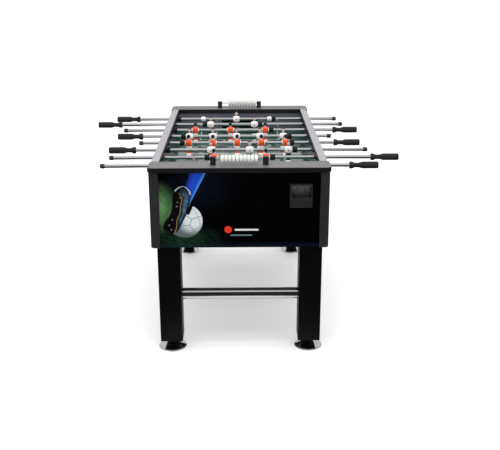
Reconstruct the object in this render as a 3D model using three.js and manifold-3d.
// Foosball table: a cabinet on four legs, with eight playing rods that slide and spin.
// Millimetres. +Z up, +Y from the near end to the far end, +X to the right, floor at Z = 0.
// Inside the group, X = 0 and Y = 0 are the middle of the cabinet.
import * as THREE from 'three';
import { mergeVertices } from 'three/addons/utils/BufferGeometryUtils.js';
import Module from 'manifold-3d';

const wasm = await Module();
wasm.setup();

// ---- driving dimensions ----
const jointGap = 0.3; // air left between pieces that touch
const cutMargin = 1; // how far a cut or a joined piece runs past the face it meets
const tableHeight = 850; // top of the rails above the floor
const bodyWidth = 741; // across the side panels
const bodyLength = 1370; // across the end panels
const bodyHeight = 332; // side panels, top to bottom

const sidePanelThickness = 16;
const endPanelThickness = 18;
const cornerPostArm = 33;
const cornerPostRadius = 18;
const cornerPostProud = 7.5; // stands out past the panels on both sides

const railThickness = 22;
const endRailOverhangX = 10.5; // end rail past the side panel
const endRailOverhangY = 20; // end rail past the end panel
const endRailWidth = 110;
const endRailCornerRadius = 22;
const sideRailOverhang = 4.5;
const sideRailWidth = 36;

const legWidth = 98;
const legWall = 14;
const legFootPlug = 30; // solid block at the bottom of the leg
const cupToLeg = 8; // ball cup above the leg behind it
const footHeight = 44; // bottom of the leg above the floor

const levelerRadius = 62.5;
const levelerRim = 5;
const levelerShoulderRise = 14; // above the rim
const levelerShoulderShare = 0.52; // of the leveler's radius
const levelerNeckRise = 26;
const levelerNutRadius = 14;
const levelerSides = 16;
const stemRadius = 6;
const stemClearance = 0.4;
const stemLength = 60; // inside the leg

const stretcherRadius = 25;
const stretcherWall = 1.6;
const stretcherSides = 16;
const stretcherZ = 255;

const fieldThickness = 9;
const footClearance = 8; // under the players' feet
const ledgeDepth = 12; // batten that carries the field
const ledgeHeight = 18;
const ledgeToLeg = 8;

const rodRadius = 8;
const rodSides = 10;
const rodRunningGap = 0.5; // rod to bearing bore
const bearingFlangeRadius = 16;
const bearingFlange = 4; // outside the side panel
const bearingNut = 9.5; // inside the side panel
const bearingTopGap = 1; // flange to the rail above it
const rodEndMargin = 87.5; // first rod to the end wall

const handleLength = 126;
const handleRadius = 15.4;
const handleCollarRadius = 15.8;
const handleWaistRadius = 10.6;
const handleCollarBevel = { along: 3, deep: 2.6 };
const handleCollarEnd = 9; // the flared collar, the waist and the grip start at these places
const handleWaistFrom = 24;
const handleWaistTo = 38;
const handleGripFrom = 57;
const handleEndBevel = 4;
const handleBoreDepth = 60;
const capLength = 21;
const capRadius = 10.5;
const capBevel = 2;
const capBoreDepth = 15.5;
const boreClearance = 0.45; // handle and cap bores over the rod

const manWidth = 38.7;
const manDepth = 20;
const manFootRadius = 64; // rod axis to the sole
const manHeadTop = 42; // rod axis to the crown
const chestRise = 20;
const chestDrop = 18;
const headWidth = 18;
const headHeight = 24;
const legsWidth = 23;
const legsDepth = 14;
const shoeWidth = 25;
const shoeLength = 25;
const shoeHeight = 14;
const toeReach = 2; // middle of the shoe in front of the leg
const shinIntoShoe = 6;

const bumperLength = 22.6;
const bumperRadius = 14;
const collarLength = 24; // stop ring on a goalkeeper's rod
const collarRadius = 13;
const bumperGap = 0.4; // bumper to bearing at the end of the travel

const goalWallSetback = 7; // goal wall behind the end rail's edge
const goalWidth = 200;
const goalHeight = 66;
const goalWallThickness = 16;
const goalWallDrop = 39; // goal wall below the field
const troughEndMargin = 18;
const troughFloor = 4.5;

const cupWidth = 95;
const cupHeight = 103;
const cupRimLength = 7; // in front of the end panel
const cupRimWidth = 4;
const cupWall = 3.5;
const cupIntoRim = 1; // the pocket runs this far into its rim
const cupFromBodyEdge = 113; // cup's middle line to the side of the cabinet
const cupTopDrop = 74; // cup's top edge below the rail top
const cupApron = 45; // closed lower part of the cup's mouth
const cupGateWidth = 38; // where the ball comes in from the trough
const cupGateHeight = 42;
const cupGateSetback = 1; // behind the end panel

const scorerSpan = 220; // between the posts' middle lines
const scorerPostWidth = 24;
const scorerPostDepth = 22;
const scorerPostHeight = 35;
const scorerWireRadius = 2.5;
const scorerWireHeight = 26;
const scorerWireSeat = 8; // depth of the wire's hole in the right post
const wireSides = 8;
const beadSides = 8;
const wireClearance = 0.6;
const beadCount = 10;
const beadPitch = 15.6;
const beadRadius = 16.5;
const beadNeckRadius = 9;
const beadChamfer = 1.6;

// Travel is how far a rod slides each way from its middle position. The clearances are what
// is left outside the bearings at the end of that travel.
const rodKinds = {
  goalkeeper: { men: 1, travel: 125, handleClear: 31, capClear: 31 },
  defence: { men: 2, travel: 183, handleClear: 32.5, capClear: 10.5 },
  midfield: { men: 5, travel: 65, handleClear: 28.5, capClear: 15 },
  attack: { men: 3, travel: 119, handleClear: 37.5, capClear: 37.5 },
};

// From the far end to the near end. handle is the side of the handle, shift is where the rod
// stands across the table, and loose marks a left bumper that has slid off to the wall.
const rods = [
  { kind: 'goalkeeper', team: 'white', handle: -1, shift: -17, loose: true },
  { kind: 'defence', team: 'white', handle: -1, shift: -37, loose: false },
  { kind: 'attack', team: 'red', handle: 1, shift: -47, loose: true },
  { kind: 'midfield', team: 'white', handle: -1, shift: -15, loose: false },
  { kind: 'midfield', team: 'red', handle: 1, shift: -11, loose: false },
  { kind: 'attack', team: 'white', handle: -1, shift: 48, loose: true },
  { kind: 'defence', team: 'red', handle: 1, shift: 2, loose: false },
  { kind: 'goalkeeper', team: 'red', handle: 1, shift: -53, loose: false },
];
const beadShifts = { front: 0, rear: 15.5 };

// ---- derived places ----
const railBottom = tableHeight - railThickness;
const panelTop = railBottom - jointGap;
const panelBottom = railBottom - bodyHeight;
const bodyX = bodyWidth / 2;
const bodyY = bodyLength / 2;
const wallX = bodyX - sidePanelThickness; // inner face of a side panel
const wallY = bodyY - endPanelThickness; // inner face of an end panel
const stopX = wallX - bearingNut; // where a bumper meets a bearing
const railInnerY = bodyY + endRailOverhangY - endRailWidth;
const goalFaceY = railInnerY + goalWallSetback;
const goalBackY = goalFaceY + goalWallThickness;
const rodZ = railBottom - bearingTopGap - bearingFlangeRadius;
const rodPitch = (2 * (goalFaceY - rodEndMargin)) / (rods.length - 1);
const fieldTop = rodZ - manFootRadius - footClearance;
const fieldBottom = fieldTop - fieldThickness;
const legX = wallX - jointGap - legWidth / 2;
const legY = wallY - jointGap - legWidth / 2;
const cupX = bodyX - cupFromBodyEdge;
const cupTop = tableHeight - cupTopDrop;
const legTop = cupTop - cupHeight - cupToLeg;
const goalWallBottom = fieldTop - goalWallDrop;
const troughTop = goalWallBottom + troughFloor;

// ---- solids ----
function solidOf(geometry) {
  const bare = geometry.index ? geometry.toNonIndexed() : geometry.clone();
  bare.deleteAttribute('normal');
  bare.deleteAttribute('uv');
  const merged = mergeVertices(bare, 1e-3);
  const index = merged.index.array;
  const kept = [];
  for (let i = 0; i < index.length; i += 3) {
    const [a, b, c] = [index[i], index[i + 1], index[i + 2]];
    if (a !== b && b !== c && c !== a) kept.push(a, b, c);
  }
  return new wasm.Manifold(new wasm.Mesh({
    numProp: 3,
    vertProperties: merged.attributes.position.array,
    triVerts: new Uint32Array(kept),
  }));
}

function geometryOf(solid) {
  const mesh = solid.getMesh();
  const geometry = new THREE.BufferGeometry();
  geometry.setAttribute('position', new THREE.BufferAttribute(mesh.vertProperties, 3));
  geometry.setIndex(new THREE.BufferAttribute(mesh.triVerts, 1));
  geometry.computeVertexNormals();
  return geometry;
}

// A box from its low and high corners, given in either order.
function box([xa, xb], [ya, yb], [za, zb]) {
  const geometry = new THREE.BoxGeometry(Math.abs(xb - xa), Math.abs(yb - ya), Math.abs(zb - za));
  geometry.translate((xa + xb) / 2, (ya + yb) / 2, (za + zb) / 2);
  return solidOf(geometry);
}

// A turned solid on the X axis: the profile is a list of [distance along X, radius].
function turned(profile, sides) {
  const points = profile.map(([along, radius]) => new THREE.Vector2(radius, along));
  const geometry = new THREE.LatheGeometry(points, sides);
  geometry.rotateZ(-Math.PI / 2);
  return solidOf(geometry);
}

function rodPiece(from, to, radius, sides = rodSides) {
  return turned([[from, 0], [from, radius], [to, radius], [to, 0]], sides);
}

// A flat outline, pulled up from one height to another.
function prism(shape, from, to, curveSegments = 5) {
  const settings = { depth: to - from, bevelEnabled: false, curveSegments };
  const geometry = new THREE.ExtrudeGeometry(shape, settings);
  geometry.translate(0, 0, from);
  return solidOf(geometry);
}

function union(solids) {
  return solids.reduce((whole, next) => whole.add(next));
}

// ---- finishes ----
function finish(color, roughness, metalness = 0) {
  return new THREE.MeshStandardMaterial({ color, roughness, metalness });
}
const finishes = {
  blackLaminate: finish(0x101012, 0.35),
  printedPanel: finish(0x0c1418, 0.3),
  postGrey: finish(0x3a3a3c, 0.45),
  railGrey: finish(0xa8a6aa, 0.4),
  wallBlack: finish(0x26262b, 0.3),
  fieldGreen: finish(0x0c4a2c, 0.15),
  chrome: finish(0xd8dadc, 0.12, 1),
  moulding: finish(0x2c2c2d, 0.5),
  scorerBlack: finish(0x161617, 0.4),
  ivory: finish(0xe9e8dc, 0.35),
  handleBlack: finish(0x1c1c1b, 0.45),
  rubber: finish(0x1a191c, 0.7),
  white: finish(0xe8e8ea, 0.4),
  red: finish(0xe2481f, 0.4),
};

const table = new THREE.Group();

function addPiece(name, solid, material, place = {}) {
  const mesh = new THREE.Mesh(geometryOf(solid), material);
  mesh.name = name;
  mesh.position.set(place.x ?? 0, place.y ?? 0, place.z ?? 0);
  mesh.rotation.z = place.turn ?? 0;
  table.add(mesh);
  return mesh;
}

// Both ends of the table are alike, the far one turned half round from the near one.
const ends = [
  { name: 'front', turn: 0 },
  { name: 'rear', turn: Math.PI },
];
const sides = [
  { name: 'left', sign: -1 },
  { name: 'right', sign: 1 },
];

// ---- cabinet ----
function endPanel() {
  const halfWidth = bodyX - cornerPostArm - jointGap;
  const plate = box([-halfWidth, halfWidth], [-bodyY, -wallY], [panelBottom, panelTop]);
  const holeX = cupWidth / 2 - cupRimWidth + jointGap;
  const holeZ = [cupTop - cupHeight + cupRimWidth - jointGap, cupTop - cupRimWidth + jointGap];
  return plate.subtract(box([cupX - holeX, cupX + holeX], [-bodyY - cutMargin, -wallY + cutMargin], holeZ));
}

// The bearings are part of the panel here: a flange outside and a nut inside, at each rod.
function sidePanel(sign) {
  const endY = bodyY - cornerPostArm - jointGap;
  const plate = box([sign * wallX, sign * bodyX], [-endY, endY], [panelBottom, panelTop]);
  const ledgeEnd = legY - legWidth / 2 - ledgeToLeg;
  const ledgeTop = fieldBottom - jointGap;
  const ledge = box([sign * (wallX - ledgeDepth), sign * bodyX], [-ledgeEnd, ledgeEnd],
    [ledgeTop - ledgeHeight, ledgeTop]);
  let panel = plate.add(ledge);
  const across = [sign * stopX, sign * (bodyX + bearingFlange)].sort((a, b) => a - b);
  rods.forEach((rod, i) => {
    const bearing = rodPiece(across[0], across[1], bearingFlangeRadius);
    panel = panel.add(bearing.translate([0, rodY(i), rodZ]));
  });
  rods.forEach((rod, i) => {
    const bore = rodPiece(across[0] - cutMargin, across[1] + cutMargin, rodRadius + rodRunningGap);
    panel = panel.subtract(bore.translate([0, rodY(i), rodZ]));
  });
  return panel;
}

// An L-shaped post with a round outer edge, wrapped round the leg inside it.
function cornerPost(signX, signY) {
  const shape = new THREE.Shape();
  const inner = cornerPostArm;
  const outer = -cornerPostProud;
  const arc = cornerPostRadius + outer;
  shape.moveTo(outer, arc);
  shape.absarc(arc, arc, cornerPostRadius, Math.PI, 1.5 * Math.PI);
  shape.lineTo(inner, outer);
  shape.lineTo(inner, endPanelThickness);
  shape.lineTo(sidePanelThickness, endPanelThickness);
  shape.lineTo(sidePanelThickness, inner);
  shape.lineTo(outer, inner);
  shape.closePath();
  let post = prism(shape, panelBottom, panelTop).translate([-bodyX, -bodyY, 0]);
  if (signX > 0) post = post.mirror([1, 0, 0]);
  if (signY > 0) post = post.mirror([0, 1, 0]);
  return post;
}

function endRail() {
  const x = bodyX + endRailOverhangX;
  const outerY = -bodyY - endRailOverhangY;
  const r = endRailCornerRadius;
  const shape = new THREE.Shape();
  shape.moveTo(x, -railInnerY);
  shape.lineTo(-x, -railInnerY);
  shape.lineTo(-x, outerY + r);
  shape.absarc(-x + r, outerY + r, r, Math.PI, 1.5 * Math.PI);
  shape.absarc(x - r, outerY + r, r, 1.5 * Math.PI, 2 * Math.PI);
  shape.closePath();
  return prism(shape, railBottom, tableHeight);
}

function sideRail(sign) {
  const outer = bodyX + sideRailOverhang;
  const endY = railInnerY - jointGap;
  return box([sign * (outer - sideRailWidth), sign * outer], [-endY, endY], [railBottom, tableHeight]);
}

function playfield() {
  const x = wallX - jointGap;
  const y = goalFaceY - jointGap;
  return box([-x, x], [-y, y], [fieldBottom, fieldTop]);
}

// The wall with the goal mouth, and the trough behind it that leads the ball to the cup.
function goalBox() {
  const wallHalf = wallX - jointGap;
  const wall = box([-wallHalf, wallHalf], [-goalBackY, -goalFaceY], [goalWallBottom, panelTop]);
  const low = -goalWidth / 2 - troughEndMargin;
  const high = cupX - cupWidth / 2 + cupRimWidth - jointGap;
  const across = [-(wallY - jointGap), -goalBackY + cutMargin];
  const floor = box([low, high], across, [goalWallBottom, troughTop]);
  const end = box([low, low + troughFloor], across, [goalWallBottom, fieldTop]);
  const mouth = box([-goalWidth / 2, goalWidth / 2],
    [-goalBackY - cutMargin, -goalFaceY + cutMargin], [fieldTop, fieldTop + goalHeight]);
  return union([wall, floor, end]).subtract(mouth);
}

// A moulded pocket in the end panel, with a rim in front and a gate to the trough at its side.
function ballCup() {
  const frontY = -bodyY - jointGap;
  const rimX = cupWidth / 2;
  const bodyHalf = rimX - cupRimWidth;
  const bottom = cupTop - cupHeight;
  const backY = -goalBackY - 2 * jointGap;
  const pocket = box([cupX - bodyHalf, cupX + bodyHalf], [frontY - cupIntoRim, backY],
    [bottom + cupRimWidth, cupTop - cupRimWidth]);
  const rim = box([cupX - rimX, cupX + rimX], [frontY - cupRimLength, frontY], [bottom, cupTop]);
  const hollowX = bodyHalf - cupWall;
  const hollowZ = [bottom + cupRimWidth + cupWall, cupTop - cupRimWidth - cupWall];
  const hollow = box([cupX - hollowX, cupX + hollowX], [frontY - cupWall, backY - cupWall], hollowZ);
  const mouth = box([cupX - hollowX, cupX + hollowX], [frontY - cupRimLength - cutMargin, frontY],
    [bottom + cupApron, hollowZ[1]]);
  const gateY = -wallY + cupGateSetback;
  const gate = box([cupX - bodyHalf - cutMargin, cupX - hollowX + cutMargin], [gateY, gateY + cupGateWidth],
    [troughTop, troughTop + cupGateHeight]);
  return pocket.add(rim).subtract(hollow).subtract(mouth).subtract(gate);
}

// ---- legs ----
function leg() {
  const half = legWidth / 2;
  const inside = half - legWall;
  const plugTop = footHeight + legFootPlug;
  const outer = box([-half, half], [-half, half], [footHeight, legTop]);
  const hollow = box([-inside, inside], [-inside, inside], [plugTop, legTop + cutMargin]);
  const hole = rodPiece(0, plugTop + cutMargin, stemRadius + stemClearance);
  return outer.subtract(hollow).subtract(hole.rotate([0, -90, 0]));
}

function leveler() {
  const top = footHeight - jointGap;
  const profile = [
    [0, 0],
    [0, levelerRadius],
    [levelerRim, levelerRadius],
    [levelerRim + levelerShoulderRise, levelerRadius * levelerShoulderShare],
    [levelerRim + levelerNeckRise, levelerNutRadius],
    [top, levelerNutRadius],
    [top, stemRadius],
    [footHeight + stemLength, stemRadius],
    [footHeight + stemLength, 0],
  ];
  return turned(profile, levelerSides).rotate([0, -90, 0]);
}

function stretcher() {
  const x = legX - legWidth / 2 - jointGap;
  const tube = rodPiece(-x, x, stretcherRadius, stretcherSides);
  const bore = stretcherRadius - stretcherWall;
  return tube.subtract(rodPiece(-x - cutMargin, x + cutMargin, bore, stretcherSides));
}

// ---- scorers ----
const wireZ = tableHeight + scorerWireHeight;

function scorerPost(sign) {
  const middle = (sign * scorerSpan) / 2;
  const half = scorerPostWidth / 2;
  const z = tableHeight + jointGap;
  const post = box([middle - half, middle + half], [-scorerPostDepth / 2, scorerPostDepth / 2],
    [z, tableHeight + scorerPostHeight]);
  const inner = scorerSpan / 2 - half;
  if (sign < 0) {
    const wireEnd = inner + scorerWireSeat - cutMargin;
    const wire = rodPiece(-inner - cutMargin, wireEnd, scorerWireRadius, wireSides);
    return post.add(wire.translate([0, 0, wireZ]));
  }
  const seatRadius = scorerWireRadius + wireClearance;
  const seat = rodPiece(inner - cutMargin, inner + scorerWireSeat, seatRadius, wireSides);
  return post.subtract(seat.translate([0, 0, wireZ]));
}

// Ten counting beads in a row on the wire, touching each other.
function beads() {
  const bore = scorerWireRadius + wireClearance;
  const start = (-beadCount * beadPitch) / 2;
  const profile = [[start, bore], [start, beadNeckRadius]];
  for (let i = 0; i < beadCount; i++) {
    const left = start + i * beadPitch;
    profile.push([left + beadChamfer, beadRadius]);
    profile.push([left + beadPitch - beadChamfer, beadRadius]);
    profile.push([left + beadPitch, beadNeckRadius]);
  }
  profile.push([-start, bore], [start, bore]);
  return turned(profile, beadSides);
}

// ---- playing rods ----
function rodY(i) {
  return (rods.length - 1) / 2 * rodPitch - i * rodPitch;
}

const outerFace = bodyX + bearingFlange;
const reachPastMan = manWidth / 2 + bumperLength + bumperGap;

// Where the men stand along a rod, from its middle.
function menPlaces(kind) {
  if (kind.men === 1) return [0];
  const last = stopX - kind.travel - reachPastMan;
  return Array.from({ length: kind.men }, (_, i) => -last + (i * 2 * last) / (kind.men - 1));
}

// What the bumpers lie against: the outer men, or the stop rings of a goalkeeper's rod.
function bumperPlace(kind) {
  return stopX - kind.travel - bumperGap - bumperLength;
}

function man(faces) {
  const chest = box([-manWidth / 2, manWidth / 2], [-manDepth / 2, manDepth / 2], [-chestDrop, chestRise]);
  const skull = new THREE.SphereGeometry(headWidth / 2, 6, 4);
  skull.rotateX(Math.PI / 2);
  skull.scale(1, 1, headHeight / headWidth);
  const head = solidOf(skull.translate(0, 0, manHeadTop - headHeight / 2));
  const legs = box([-legsWidth / 2, legsWidth / 2], [-legsDepth / 2, legsDepth / 2],
    [-manFootRadius + shoeHeight - shinIntoShoe, -chestDrop + cutMargin]);
  const toes = toeReach * faces;
  const shoe = box([-shoeWidth / 2, shoeWidth / 2], [toes - shoeLength / 2, toes + shoeLength / 2],
    [-manFootRadius, -manFootRadius + shoeHeight]);
  return union([chest, head, legs, shoe]);
}

function rod(spec) {
  const kind = rodKinds[spec.kind];
  const towardsHandle = outerFace + kind.travel + kind.handleClear + handleBoreDepth - jointGap;
  const towardsCap = outerFace + kind.travel + kind.capClear + capBoreDepth - jointGap;
  const tube = spec.handle < 0
    ? rodPiece(-towardsHandle, towardsCap, rodRadius)
    : rodPiece(-towardsCap, towardsHandle, rodRadius);
  const faces = spec.team === 'white' ? -1 : 1;
  const pieces = menPlaces(kind).map((x) => man(faces).translate([x, 0, 0]));
  const inner = bumperPlace(kind);
  for (const sign of [-1, 1]) {
    const bumper = rodPiece(0, bumperLength, bumperRadius);
    const start = sign > 0 ? inner : -inner - bumperLength;
    if (!(spec.loose && sign < 0)) pieces.push(bumper.translate([start, 0, 0]));
    if (kind.men > 1) continue;
    const ringStart = sign > 0 ? inner - collarLength : -inner;
    pieces.push(rodPiece(0, collarLength, collarRadius).translate([ringStart, 0, 0]));
  }
  return union([tube, ...pieces]);
}

// Handle and cap start at X = 0, where they face the table, and reach towards +X.
function handle() {
  const bore = rodRadius + boreClearance;
  const profile = [
    [0, bore],
    [0, handleCollarRadius - handleCollarBevel.deep],
    [handleCollarBevel.along, handleCollarRadius],
    [handleCollarEnd, handleCollarRadius],
    [handleWaistFrom, handleWaistRadius],
    [handleWaistTo, handleWaistRadius],
    [handleGripFrom, handleRadius],
    [handleLength - handleEndBevel, handleRadius],
    [handleLength, handleRadius - handleEndBevel],
    [handleLength, 0],
    [handleBoreDepth, 0],
    [handleBoreDepth, bore],
    [0, bore],
  ];
  return turned(profile, rodSides);
}

function endCap() {
  const bore = rodRadius + boreClearance;
  const profile = [
    [0, bore],
    [0, capRadius],
    [capLength - capBevel, capRadius],
    [capLength, capRadius - capBevel],
    [capLength, 0],
    [capBoreDepth, 0],
    [capBoreDepth, bore],
    [0, bore],
  ];
  return turned(profile, rodSides);
}

function looseBumper() {
  return rodPiece(0, bumperLength, bumperRadius)
    .subtract(rodPiece(-cutMargin, bumperLength + cutMargin, rodRadius + rodRunningGap))
    .translate([-stopX + jointGap, 0, 0]);
}

function addRod(spec, i) {
  const name = `rod_${i + 1}`;
  const kind = rodKinds[spec.kind];
  const y = rodY(i);
  const { white, red } = finishes;
  const handleX = outerFace + kind.travel + kind.handleClear;
  const capX = outerFace + kind.travel + kind.capClear;
  addPiece(name, rod(spec), spec.team === 'white' ? white : red, { x: spec.shift, y, z: rodZ });
  const grip = spec.handle > 0 ? handle() : handle().mirror([1, 0, 0]);
  const cap = spec.handle > 0 ? endCap().mirror([1, 0, 0]) : endCap();
  const gripX = spec.shift + spec.handle * handleX;
  addPiece(`${name}_handle`, grip, finishes.handleBlack, { x: gripX, y, z: rodZ });
  const capAt = spec.shift - spec.handle * capX;
  addPiece(`${name}_end_cap`, cap, finishes.rubber, { x: capAt, y, z: rodZ });
  if (spec.loose) addPiece(`${name}_loose_bumper`, looseBumper(), finishes.rubber, { y, z: rodZ });
  return [gripX, gripX + spec.handle * handleLength];
}

// ---- assembly ----
for (const { name, turn } of ends) {
  const railY = (name === 'front' ? -1 : 1) * (bodyY + endRailOverhangY - endRailWidth / 2);
  addPiece(`${name}_end_panel`, endPanel(), finishes.printedPanel, { turn });
  addPiece(`${name}_top_rail`, endRail(), finishes.railGrey, { turn });
  addPiece(`${name}_goal_box`, goalBox(), finishes.wallBlack, { turn });
  addPiece(`${name}_ball_cup`, ballCup(), finishes.moulding, { turn });
  addPiece(`${name}_scorer_post_left`, scorerPost(-1), finishes.scorerBlack, { y: railY });
  addPiece(`${name}_scorer_post_right`, scorerPost(1), finishes.scorerBlack, { y: railY });
  addPiece(`${name}_scorer_beads`, beads(), finishes.ivory, { x: beadShifts[name], y: railY, z: wireZ });
  const stretcherY = (name === 'front' ? -1 : 1) * legY;
  addPiece(`${name}_stretcher`, stretcher(), finishes.chrome, { y: stretcherY, z: stretcherZ });
}
for (const { name, sign } of sides) {
  addPiece(`${name}_side_panel`, sidePanel(sign), finishes.wallBlack);
  addPiece(`${name}_top_rail`, sideRail(sign), finishes.railGrey);
}
for (const [endName, signY] of [['front', -1], ['rear', 1]]) {
  for (const { name, sign } of sides) {
    const place = { x: sign * legX, y: signY * legY };
    addPiece(`corner_post_${endName}_${name}`, cornerPost(sign, signY), finishes.postGrey);
    addPiece(`leg_${endName}_${name}`, leg(), finishes.blackLaminate, place);
    addPiece(`leveler_${endName}_${name}`, leveler(), finishes.chrome, place);
  }
}
addPiece('playfield', playfield(), finishes.fieldGreen);
const reach = rods.flatMap(addRod);

// The part's origin is on the floor, under the middle of everything with the rods as they stand.
table.position.x = -(Math.min(...reach) + Math.max(...reach)) / 2;

export default table;
